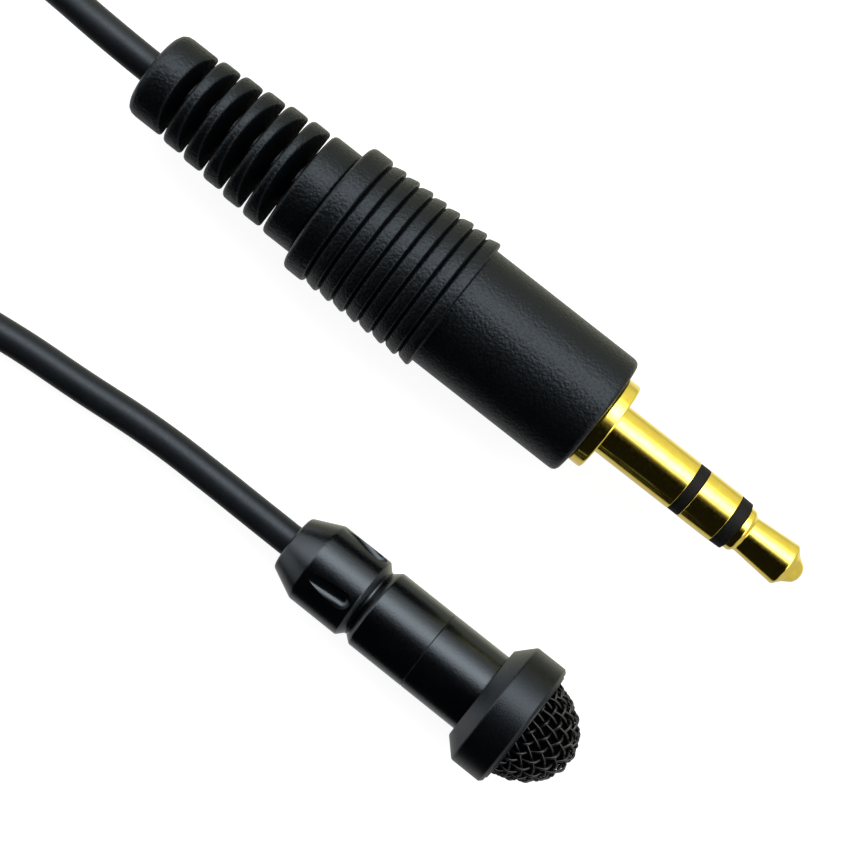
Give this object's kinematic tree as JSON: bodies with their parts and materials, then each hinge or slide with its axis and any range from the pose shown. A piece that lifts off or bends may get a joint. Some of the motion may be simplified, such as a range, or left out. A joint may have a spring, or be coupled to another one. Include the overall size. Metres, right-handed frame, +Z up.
{
  "type": "lavalier microphone",
  "caption": "Miniature clip-on microphone with a screw-on wire mesh head, a cable gland, a thin captive cord and a ribbed plug with gold contacts.",
  "frame": {"origin": "on the surface the microphone lies on, under the middle of the microphone's own box", "axes": "+X towards the mesh head as the microphone points, +Z up, +Y towards the plug that lies beside it"},
  "size_m": [0.0955, 0.0327, 0.0095],
  "materials": {
    "anodised_black": "satin black anodised aluminium",
    "mesh_black": "woven steel wire, blackened",
    "foam_black": "open-cell foam",
    "moulded_black": "soft moulded PVC with a fine pebble texture",
    "cord_black": "smooth matte cable jacket",
    "insulator_black": "moulded insulator",
    "gold_plate": "polished gold plating on brass",
    "plain_brass": "turned or stamped brass",
    "nylon_white": "natural nylon",
    "silver_can": "drawn aluminium",
    "rubber_black": "matte rubber",
    "board_green": "circuit board with solder mask",
    "silver_film": "metallised film",
    "felt_black": "thin felt",
    "wire_red": "insulated wire",
    "wire_white": "insulated wire",
    "bare_copper": "bare stranded copper"
  },
  "bodies": {
    "mic_body": {"rear_sleeve": "anodised_black", "front_sleeve": "anodised_black", "cable_bush": "rubber_black", "crimp_ferrule": "plain_brass", "diaphragm": "silver_film", "spacer_ring": "nylon_white", "back_plate": "plain_brass", "back_plate_holder": "nylon_white", "capsule_board": "board_green", "capsule_transistor": "insulator_black", "capsule_can": "silver_can", "capsule_felt": "felt_black", "capsule_gasket": "rubber_black", "signal_wire": "wire_red", "bias_wire": "wire_white", "capsule_shield_wire": "bare_copper", "head_seal": "rubber_black", "cord_mic_run": "cord_black", "cord_coil": "cord_black", "cord_plug_run": "cord_black", "coil_tie": "rubber_black", "strain_relief_boot": "moulded_black", "plug_cover": "moulded_black", "inner_mould": "nylon_white", "jack_sleeve": "gold_plate", "ring_insulator": "insulator_black", "jack_ring": "gold_plate", "tip_insulator": "insulator_black", "jack_tip": "gold_plate", "rear_washer": "insulator_black", "ring_terminal": "plain_brass", "tip_washer": "insulator_black", "tip_terminal": "plain_brass", "ground_terminal": "plain_brass", "tip_wire": "wire_red", "ring_wire": "wire_white", "ground_wire": "bare_copper"},
    "gland_slider": {"slip_washer": "nylon_white"},
    "gland_nut": {"rear_cap": "anodised_black"},
    "grille_slider": {"windscreen_foam": "foam_black"},
    "grille_head": {"head_ring": "anodised_black", "mesh_dome": "mesh_black", "mesh_retaining_ring": "anodised_black"}
  },
  "joints": [
    {"name": "gland_travel", "type": "slide", "parent": "mic_body", "child": "gland_slider", "axis": [-0.9943, 0, -0.107], "range_m": [0, 0.002]},
    {"name": "gland_turn", "type": "hinge", "parent": "gland_slider", "child": "gland_nut", "pos_m": [-0.00473, 0, 0.00328], "axis": [-0.9943, 0, -0.107], "range_deg": [0, 1440]},
    {"name": "grille_travel", "type": "slide", "parent": "mic_body", "child": "grille_slider", "axis": [0.9943, 0, 0.107], "range_m": [0, 0.0015]},
    {"name": "grille_turn", "type": "hinge", "parent": "grille_slider", "child": "grille_head", "pos_m": [0.00412, 0, 0.00423], "axis": [0.9943, 0, 0.107], "range_deg": [0, 1080]}
  ],
  "couplings": [
    {"joint": "gland_turn", "follows": "gland_travel", "rad_per_m": 12566},
    {"joint": "grille_turn", "follows": "grille_travel", "rad_per_m": 12566}
  ]
}
